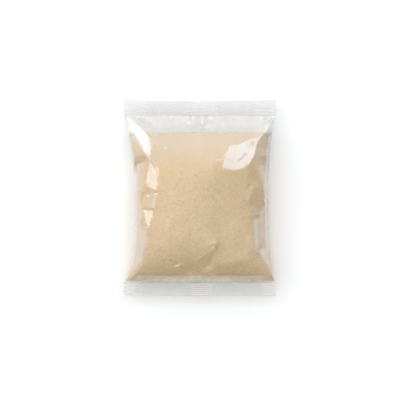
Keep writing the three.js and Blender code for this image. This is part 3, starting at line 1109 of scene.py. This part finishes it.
@dataclass(frozen=True)
class CrimpedFilm(ClearFilm):
    """Film pressed into ribs, whitened along their crests: faintly all across, as crimped film is,
    and strongly in three patches, which are painted glints.

    Attributes:
        first_rib: station of the first crest, in millimetres.
        rib_pitch: distance from crest to crest.
        pressed: the share that the crests whiten in the patches of painted glint.
        middle: place across the packet of the middle patch of painted glint.
        middle_reach: how far that patch reaches to each side.
        ends_from: distance from the middle at which the end patches of painted glint begin.
        fade: half the width over which a patch fades.
    """

    first_rib: float = 0.0
    rib_pitch: float = 1.6
    pressed: float = 0.30
    middle: float = 4.0
    middle_reach: float = 11.0
    ends_from: float = 42.0
    fade: float = 3.0

    def whitening_and_painted_light(self, sketch: NodeSketch) -> Wire:
        """The share that is whitened: the crests, faintly all across and most in the painted
        glints.

        Args:
            sketch: the material's sketch.

        Returns:
            The share.
        """
        place = sketch.place()
        x, y, _ = sketch.axes(place)
        turn = (y - self.first_rib * MM) * (math.tau / (self.rib_pitch * MM))
        crest = sketch.ramp(turn.cosine(), -0.2, 0.9)
        across = x + (sketch.noise(place, 7.0, 3.0) * (10.0 * MM) - 5.0 * MM)
        # the end patches and the middle patch are painted glints; elsewhere the crests get a tenth
        ends = sketch.ramp_mm(abs(across), self.ends_from - self.fade, self.ends_from + self.fade)
        middle = sketch.ramp_mm(
            abs(across - self.middle * MM), self.middle_reach + self.fade,
            self.middle_reach - self.fade)
        return crest * (ends.at_least(middle) * 0.9 + 0.1) * self.pressed


@dataclass(frozen=True)
class GroundGinger:
    """Dry ground ginger: matt and fine, cream tan, with faint paler and darker specks.

    Its colours are in linear light. Between two stations towards the top of the filling it grows
    paler: painted light where the top faces the light, and partly its finest, palest powder.
    """

    name: str
    effect: SharedEffect
    colour: Colour = (0.63, 0.458, 0.262)
    pale: Colour = (0.72, 0.555, 0.35)
    deep: Colour = (0.42, 0.29, 0.15)
    # paler colour towards the top: painted light, partly finer powder
    dust_and_painted_light: Colour = (0.72, 0.57, 0.375)
    dust_and_light_from: float = 8.0
    dust_and_light_to: float = 50.0

    def material(self) -> bpy.types.Material:
        """The powder's material.

        Returns:
            A matt Principled material with mottled colour and a grainy bump.
        """
        material, sketch, surface = fresh_material(self.name)
        _, along, _ = sketch.axes(sketch.place())
        # paler towards the top: painted light, and partly finer powder
        dust_and_light_share = sketch.ramp_mm(along, self.dust_and_light_from, self.dust_and_light_to)
        light, speck, height = self.effect.put(sketch, {"Contrast": 1.0})
        base = sketch.blend(light, self.colour, self.pale)
        base = sketch.blend(speck * 0.40, base, self.deep)
        base = sketch.blend(dust_and_light_share * 0.6, base, self.dust_and_painted_light)
        sketch.feed(surface, sketch.principled(
            base, 0.95, Specular_IOR_Level=0.15, Normal=sketch.bump(height, 0.12, 0.7)))
        return material


# ---------------------------------------------------------------------------- geometry node pieces


class Grown(NodeGroup):
    """A piece that a geometry node tree makes, and its plain mesh once the tree has run.

    Its inputs are in metres or plain numbers.
    """

    KIND = "GeometryNodeTree"
    GEOMETRY_SIDES = ("INPUT", "OUTPUT")

    def finish(
        self, geometry: Wire, material: bpy.types.Material, host: bpy.types.Mesh,
    ) -> bpy.types.Object:
        """Ends the tree, runs it on a host mesh and keeps its result as a plain piece.

        Args:
            geometry: what the tree has made.
            material: what the piece is dressed in.
            host: the mesh that the tree's geometry input carries.

        Returns:
            The plain piece, with no modifier on it.
        """
        whole = self.sketch.add("GeometryNodeRealizeInstances", {"Geometry": geometry})[0]
        dress = {"Geometry": whole, "Material": material}
        self.sketch.feed(self.end["Geometry"], self.sketch.add("GeometryNodeSetMaterial", dress)[0])
        carrier = linked(f"{self.name}_carrier", host)
        modifier = carrier.modifiers.new("grow", "NODES")
        modifier.node_group = self.tree
        for name, value in self.inputs.items():
            modifier[self.keys[name]] = float(value)
        bpy.context.view_layer.update()
        seen = carrier.evaluated_get(bpy.context.evaluated_depsgraph_get())
        mesh = bpy.data.meshes.new_from_object(seen)
        mesh.name = self.name
        bpy.data.objects.remove(carrier)
        return smooth_piece(self.name, mesh)


# ---------------------------------------------------------------------------- sub-assemblies


@dataclass
class FilmBody:
    """The filled part of the pouch: one closed skin of clear film from mouth to mouth."""

    skin: PouchSkin
    finish: ClearFilm

    def build(self) -> bpy.types.Object:
        """Builds and dresses the film.

        Returns:
            The film as one closed mesh.
        """
        front = self.skin.front
        rings = np.concatenate((front, self.skin.back[:, 1:-1]), axis=1)
        piece = loft("film_body", rings, self.finish.material())
        # the facets' painted highlights and painted shade, kept on the front's points
        haze = np.zeros(rings.shape[:2])
        haze[:, : front.shape[1]] = self.skin.facet_field.haze(front)
        mark(piece.data, FACET_HAZE_AND_PAINTED_LIGHT, haze)
        return piece


@dataclass
class CrimpedSeal:
    """One sealed band: two films pressed into straight ribs across the whole width.

    Lengths are in millimetres. Bow is how far its outer edge is drawn in at the middle, and wander
    how far that edge strays up and down.
    """

    form: PouchForm
    end: End
    finish: ClearFilm
    thickness: float = 0.2
    rib_rise: float = 0.3
    rib_start: float = 0.0
    bow: float = 0.0
    wander: float = 1.4
    columns: int = 240
    steps_per_rib: int = 10

    def sizes(self) -> dict[str, float]:
        """The tree's inputs for this end of the packet.

        Returns:
            Its inputs by name, in metres or plain numbers.
        """
        form, top = self.form, self.end is End.TOP
        lengths = {
            "Width": 2 * HALF_WIDTH,
            "Depth": form.top_seal_depth if top else form.bottom_seal_depth,
            "Mouth": form.top_mouth if top else form.bottom_mouth,
            "Thickness": self.thickness,
            "Rib Pitch": form.rib_pitch,
            "Rib Rise": self.rib_rise,
            "Rib Start": self.rib_start,
            "Bow": self.bow,
            "Height": SEAL_HEIGHT,
            "Droop": form.seal_droop,
            "Corner Droop": form.top_corner_droop if top else form.bottom_corner_droop,
            "Corner Start": form.corner_start,
            "Seam Bulge": form.seam_bulge,
            "Bulge Width": form.seam_bulge_width,
            "Wander": self.wander,
        }
        sizes = {name: length * MM for name, length in lengths.items()}
        return sizes | {"Side": float(self.end.value)}

    def build(self) -> bpy.types.Object:
        """Builds and dresses the band.

        Returns:
            The band as one closed mesh.
        """
        sizes = self.sizes()
        rows = round(sizes["Depth"] / sizes["Rib Pitch"] * self.steps_per_rib) + 1
        grown = Grown(f"{self.end.name.lower()}_seal", sizes)
        sketch, value = grown.sketch, grown.value
        depth, side, edge = value["Depth"], value["Side"], value["Width"] * 0.5
        block = sketch.add("GeometryNodeMeshCube", {
            "Size": sketch.joined(value["Width"], depth, value["Thickness"]),
            "Vertices X": self.columns + 1, "Vertices Y": rows, "Vertices Z": 2})[0]
        x, y, z = sketch.axes(sketch.add("GeometryNodeInputPosition", {})[0])
        half = depth * 0.5
        depth_in = side * y + half
        share = depth_in / depth
        turn = (depth_in - value["Rib Start"]) * math.tau / value["Rib Pitch"]
        ribs = (1 - turn.cosine()) * 0.5 * value["Rib Rise"]
        droop = share ** 2 * value["Droop"]
        corner = sketch.ramp(abs(x), value["Corner Start"], edge) * value["Corner Droop"]
        off = (x / value["Bulge Width"]) ** 2
        bulge = (off * -1).exponent() * value["Seam Bulge"]
        drift = sketch.noise(sketch.joined(x, value["Mouth"]), 17.0, 1.0) - 0.5
        drift = drift * (share * value["Wander"])
        lift = z + value["Height"] + ribs + bulge + drift - droop - corner
        drawn_in = (1 - (x / edge) ** 2) * share ** 6 * (value["Bow"] * side)
        station = y + (side * half + value["Mouth"]) - drawn_in
        bent = sketch.add("GeometryNodeSetPosition", {
            "Geometry": block, "Position": sketch.joined(x, station, lift)})[0]
        host = bpy.data.meshes.new(f"{grown.name}_host")
        return grown.finish(bent, self.finish.material(), host)


@dataclass
class BackSeam:
    """The lap of film that closes the tube along the middle of its back, in millimetres."""

    skin: PouchSkin
    finish: ClearFilm
    thickness: float = 0.2
    clearance: float = 0.02
    columns: int = 12

    def build(self) -> bpy.types.Object:
        """Builds and dresses the lap.

        Returns:
            The lap as one closed mesh just under the back panel.
        """
        form, y = self.skin.form, self.skin.stations
        x = np.linspace(form.seam_width / 2, -form.seam_width / 2, self.columns + 1)
        grid_x, grid_y = np.meshgrid(x, y)
        low = form.low(y)[:, None] + form.seal_sag(grid_x, grid_y)
        low = low * (1 - self.clearance) + self.clearance
        under = np.stack((grid_x, grid_y, low), axis=2)
        over = under[:, ::-1] + np.array((0, 0, self.thickness))
        rings = np.concatenate((under, over), axis=1)
        return loft("back_seam", rings, self.finish.material())


@dataclass
class PowderFill:
    """The ground ginger that fills the pouch from its bottom seal to below its top one.

    Attributes:
        skin: the film's own surface, which the powder lies against.
        top: station of the foot of its top face.
        bottom: station where it runs out in the corners above the bottom seal.
        bow: how much sooner it runs out between the corners.
        gap: its distance from the film where they touch.
        seal_gap: how far it stays off the edges of the tube, at the seals.
        left_gap: how far it stays off the left edge, at the waist.
        right_gap: how far it stays off the right edge there.
        waist_end: station, above and below the middle, where the waist ends.
        waist_fade: the length over which it comes on.
        face_slump: how far the top face leans back from its foot.
        ragged: how ragged that foot is.
        wedge: how long the wedge at the bottom is.
        corner_from: place across where the corners at the bottom begin.
        corner_fade: how wide their beginning is.
        bow_reach: how far up from the bottom the bow is felt.
    """

    skin: PouchSkin
    finish: GroundGinger
    top: float = 52.3
    bottom: float = -65.8
    bow: float = 2.2
    gap: float = 0.22
    seal_gap: float = 0.9
    left_gap: float = 1.2
    right_gap: float = 3.0
    waist_end: float = 66.0
    waist_fade: float = 30.0
    face_slump: float = 0.5
    ragged: float = 0.5
    wedge: float = 4.0
    corner_from: float = 46.0
    corner_fade: float = 7.0
    bow_reach: float = 12.0

    def inset(self, points: Grid, side_steps: int) -> Grid:
        """A grid moved inwards off the film.

        Args:
            points: the film's points.
            side_steps: how many columns at each edge make up its sides.

        Returns:
            The moved points.
        """
        columns = np.arange(points.shape[1])
        off_edge = np.minimum(columns, columns[-1] - columns) / side_steps
        normal = np.cross(np.gradient(points, axis=1), np.gradient(points, axis=0))
        normal /= np.linalg.norm(normal, axis=2, keepdims=True)
        out = points - normal * self.gap
        waist = smooth((self.waist_end - np.abs(points[:, :, 1])) / self.waist_fade)
        gap = np.where(points[:, :, 0] < 0, self.left_gap, self.right_gap)
        pinch = (self.seal_gap + (gap - self.seal_gap) * waist) * (1 - smooth(off_edge))[None, :]
        out[:, :, 0] -= np.sign(points[:, :, 0]) * pinch
        return out

    def build(self) -> bpy.types.Object:
        """Builds and dresses the powder.

        Returns:
            The powder as one closed mesh.
        """
        skin, y = self.skin, self.skin.stations
        keep = (y > self.bottom) & (y < self.top)
        front = self.inset(skin.front, skin.side)[keep]
        back = self.inset(skin.back, skin.under)[keep]
        front = self.ends(front, back, y[keep])
        rings = np.concatenate((front, back[:, 1:-1]), axis=1)
        rings[:, :, 1] += self.warp(rings, y[keep])
        return loft("ginger_powder", rings, self.finish.material())

    def ends(self, front: Grid, back: Grid, y: Grid) -> Grid:
        """The powder's front brought down to its back at both ends.

        Args:
            front: the front, from left to right.
            back: the back, from right to left.
            y: their stations.

        Returns:
            The front with a rounded top face and a wedge at the bottom.
        """
        out = front.copy()
        under = np.stack([
            np.interp(row[:, 0], low[::-1, 0], low[::-1, 2]) for row, low in zip(front, back)])
        from_top = (self.top - y)[:, None]
        edge = self.ragged * ripple(front[:, :, 0], front[:, :, 2] * 0.4, 5, 21)
        top_share = np.clip((from_top + edge * (from_top < 6)) / self.face_slump, 0, 1)
        bottom_share = np.clip((y - self.bottom)[:, None] / self.wedge, 0, 1)
        share = np.sqrt(1 - (1 - top_share) ** 2) * np.sqrt(1 - (1 - bottom_share) ** 2)
        out[:, :, 2] = under + (front[:, :, 2] - under) * np.maximum(share, 0.01)
        return out

    def warp(self, rings: Grid, y: Grid) -> Grid:
        """How far the powder's lower end is drawn up between the corners.

        Args:
            rings: the powder's rings.
            y: their stations.

        Returns:
            A rise along the packet for each point.
        """
        between = 1 - smooth((np.abs(rings[:, :, 0]) - self.corner_from) / self.corner_fade)
        from_bottom = (y - self.bottom)[:, None] / self.bow_reach
        return self.bow * between * (1 - np.clip(from_bottom, 0, 1))


@dataclass
class LooseGrains:
    """Grains of ginger that cling to the film round the edges of the filling.

    Density counts them on each square metre where they lie closest, size is their middle size in
    millimetres, and smallest and largest are shares of it. From start, measured from the filling's
    top, they thin out over reach by the power crowding, and a few lie everywhere.
    """

    skin: PouchSkin
    powder: PowderFill
    finish: GroundGinger
    density: float = 1.9e7
    size: float = 0.30
    smallest: float = 0.55
    largest: float = 1.5
    under_film: float = 0.45
    start: float = -1.2
    reach: float = 4.2
    crowding: float = 2.2
    everywhere: float = 0.002
    seed: int = 11

    def host(self) -> bpy.types.Mesh:
        """The strips of film that carry grains, with how closely they lie as an attribute.

        Returns:
            A mesh just under the front film, with a float attribute named cover.
        """
        y, top = self.skin.stations, self.powder.top
        keep = (y > top - 4) & (y < top + 9)
        grid = self.skin.front[keep, 8:-8:2] - np.array((0, 0, self.under_film))
        rows, columns = grid.shape[:2]
        a = (np.arange(rows - 1)[:, None] * columns + np.arange(columns - 1)[None, :]).ravel()
        quads = np.stack((a, a + 1, a + columns + 1, a + columns), axis=1)
        mesh = bpy.data.meshes.new("grain_host")
        mesh.from_pydata((grid.reshape(-1, 3) * MM).tolist(), [], quads.tolist())
        beyond = grid[:, :, 1] - (top + self.start)
        beyond += 0.8 * ripple(grid[:, :, 0], grid[:, :, 1], 6, 33)
        cover = np.clip(1 - beyond / self.reach, 0, 1) ** self.crowding * (beyond > -2.0)
        mark(mesh, "cover", cover + self.everywhere)
        return mesh

    def build(self) -> bpy.types.Object:
        """Scatters and dresses the grains.

        Returns:
            All the grains as one mesh.
        """
        grown = Grown("loose_grains", {
            "Density": self.density, "Smallest": self.smallest, "Largest": self.largest,
            "Grain": self.size * MM})
        sketch, value = grown.sketch, grown.value
        cover = sketch.add("GeometryNodeInputNamedAttribute", {"Name": "cover"})[0]
        points = sketch.add("GeometryNodeDistributePointsOnFaces", {
            "Mesh": value["Geometry"], "Density": value["Density"] * cover,
            "Seed": self.seed})[0]
        grain = sketch.add("GeometryNodeMeshIcoSphere", {
            "Radius": value["Grain"] * 0.5, "Subdivisions": 1})[0]
        scale = sketch.add("FunctionNodeRandomValue", {
            2: value["Smallest"], 3: value["Largest"], "Seed": self.seed + 1},
            data_type="FLOAT")[1]
        turn = sketch.add("FunctionNodeRandomValue", {
            1: (math.tau, math.tau, math.tau), "Seed": self.seed + 2},
            data_type="FLOAT_VECTOR")[0]
        placed = sketch.add("GeometryNodeInstanceOnPoints", {
            "Points": points, "Instance": grain, "Rotation": turn, "Scale": scale})[0]
        return grown.finish(placed, self.finish.material(), self.host())


# ---------------------------------------------------------------------------- studio


def direction(azimuth: float, elevation: float) -> Colour:
    """The unit vector of a direction in degrees, from +X towards +Y and up."""
    a, e = math.radians(azimuth), math.radians(elevation)
    return math.cos(e) * math.cos(a), math.cos(e) * math.sin(a), math.sin(e)


@dataclass
class Studio:
    """The pale floor, two soft boxes, the fill light and the camera.

    Field_mm is the width of the view at the seals' height, and the camera stands over centre, in
    millimetres, at a height above the seals in metres.
    """

    field_mm: float = 317.0
    centre: Pair = (0.16, -1.55)
    height: float = 1.5
    sensor_mm: float = 36.0
    floor_reach: float = 3.0

    def camera(self) -> None:
        """Puts the camera straight above the packet, looking down."""
        data = bpy.data.cameras.new("camera")
        data.sensor_width = self.sensor_mm
        data.lens = self.sensor_mm * self.height / (self.field_mm * MM)
        data.clip_start = 0.05
        data.clip_end = 20
        camera = linked("camera", data)
        x, y = self.centre
        camera.location = (x * MM, y * MM, self.height + SEAL_HEIGHT * MM)
        bpy.context.scene.camera = camera

    def soft_box(
        self, name: str, azimuth: float, elevation: float, size: Pair,
        radiance: float, colour: Colour, distance: float = 1.2,
    ) -> None:
        """A rectangular light that faces the packet.

        Args:
            name: its name.
            azimuth: its direction from the packet, in degrees from +X towards +Y.
            elevation: its height above the horizon, in degrees.
            size: its width and height, in metres.
            radiance: how bright its face is, where the white floor is about 1.
            colour: its colour.
            distance: its distance, in metres.
        """
        data = bpy.data.lights.new(name, "AREA")
        data.shape = "RECTANGLE"
        data.size, data.size_y = size
        data.energy = radiance * math.pi * size[0] * size[1]
        data.color = colour
        light = linked(name, data)
        light.location = [distance * part for part in direction(azimuth, elevation)]
        light.rotation_euler = (math.radians(90 - elevation), 0, math.radians(azimuth + 90))

    def floor(self) -> None:
        """Lays the pale floor."""
        mesh = bpy.data.meshes.new("floor")
        r = self.floor_reach
        mesh.from_pydata([(-r, -r, 0), (r, -r, 0), (r, r, 0), (-r, r, 0)], [], [(0, 1, 2, 3)])
        material, sketch, surface = fresh_material("floor")
        paper = sketch.principled((0.94, 0.945, 0.95, 1), 0.9, Specular_IOR_Level=0.1)
        sketch.feed(surface, paper)
        mesh.materials.append(material)
        linked("floor", mesh)

    def dome(
        self, low: float, high: float, azimuth: float, elevation: float,
    ) -> None:
        """Sets the soft light from all round, which is brighter on one side.

        Args:
            low: its radiance on the dark side.
            high: its radiance on the bright side.
            azimuth: direction of the bright side, in degrees from +X towards +Y.
            elevation: height of the bright side, in degrees.
        """
        world = bpy.data.worlds.new("dome")
        world.use_nodes = True
        sketch = NodeSketch(world.node_tree)
        all_round = sketch.add("ShaderNodeTexCoord", {})[0]
        near = sketch.add("ShaderNodeVectorMath", {
            0: all_round, 1: direction(azimuth, elevation)}, operation="DOT_PRODUCT")[1]
        background = world.node_tree.nodes["Background"].inputs
        background["Color"].default_value = (1, 1, 1, 1)
        sketch.feed(background["Strength"], sketch.ramp(near, -0.4, 1.0) * (high - low) + low)
        bpy.context.scene.world = world

    def build(self) -> None:
        """Sets up the whole studio."""
        self.camera()
        self.floor()
        self.soft_box("key_box", 151, 34, (0.74, 0.36), 2.05, (0.96, 1.0, 1.05))
        self.soft_box("side_box", 60, 47, (0.6, 0.4), 1.7, (0.94, 1.0, 1.10))
        self.dome(0.34, 1.28, 128, 50)
        bpy.context.scene.view_settings.view_transform = "Standard"


# ---------------------------------------------------------------------------- the packet


def hand_over(piece: bpy.types.Object) -> None:
    """Rides a piece on the packet's body, in place of its plain solid.

    Args:
        piece: the finished piece.
    """
    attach(piece, BODY)
    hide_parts(NODE)
    LOG.info("%s: %d faces", piece.name, len(piece.data.polygons))


def main() -> None:
    """Builds the packet and the studio in order."""
    logging.basicConfig(level=logging.INFO, format="%(name)s: %(message)s")
    form = PouchForm()
    skin = PouchSkin(form)
    Studio().build()
    # the shared veil of dusting and painted light, and the powder's grain
    dust_and_painted_light, grain = dust_haze(), ginger_grain()
    body_film = ClearFilm(
        "clear_film", dust_and_painted_light, tint=0.995, top=0.20, bottom=0.14, sides=0.12, top_edge=0.30,
        bottom_edge=0.37, white=(0.855, 0.85, 0.835), dust_and_light_share=0.2)
    pressed = {"head_on": 0.03, "roughness": 0.28, "all_over": 0.12, "crinkle_depth": 0.007}
    top_film = CrimpedFilm(
        "top_crimp", dust_and_painted_light, tint=0.92, first_rib=form.top_mouth + form.rib_pitch / 2, **pressed)
    bottom_film = CrimpedFilm(
        "bottom_crimp", dust_and_painted_light, tint=0.925, middle=1.4, middle_reach=9.0, ends_from=50.0,
        first_rib=form.bottom_mouth - form.rib_pitch / 2 - BOTTOM_RIB_START,
        white=(0.95, 0.915, 0.88), **pressed)
    seam_film = ClearFilm("seam_film", dust_and_painted_light, tint=0.995, head_on=0.008)
    hand_over(FilmBody(skin, body_film).build())
    hand_over(CrimpedSeal(form, End.TOP, top_film, bow=1.1).build())
    hand_over(
        CrimpedSeal(form, End.BOTTOM, bottom_film, rib_start=BOTTOM_RIB_START).build())
    hand_over(BackSeam(skin, seam_film).build())
    powder = PowderFill(skin, GroundGinger("ground_ginger", grain))
    hand_over(powder.build())
    grains = LooseGrains(skin, powder, GroundGinger("ginger_grains", grain))
    hand_over(grains.build())


if __name__ == "__main__":
    main()
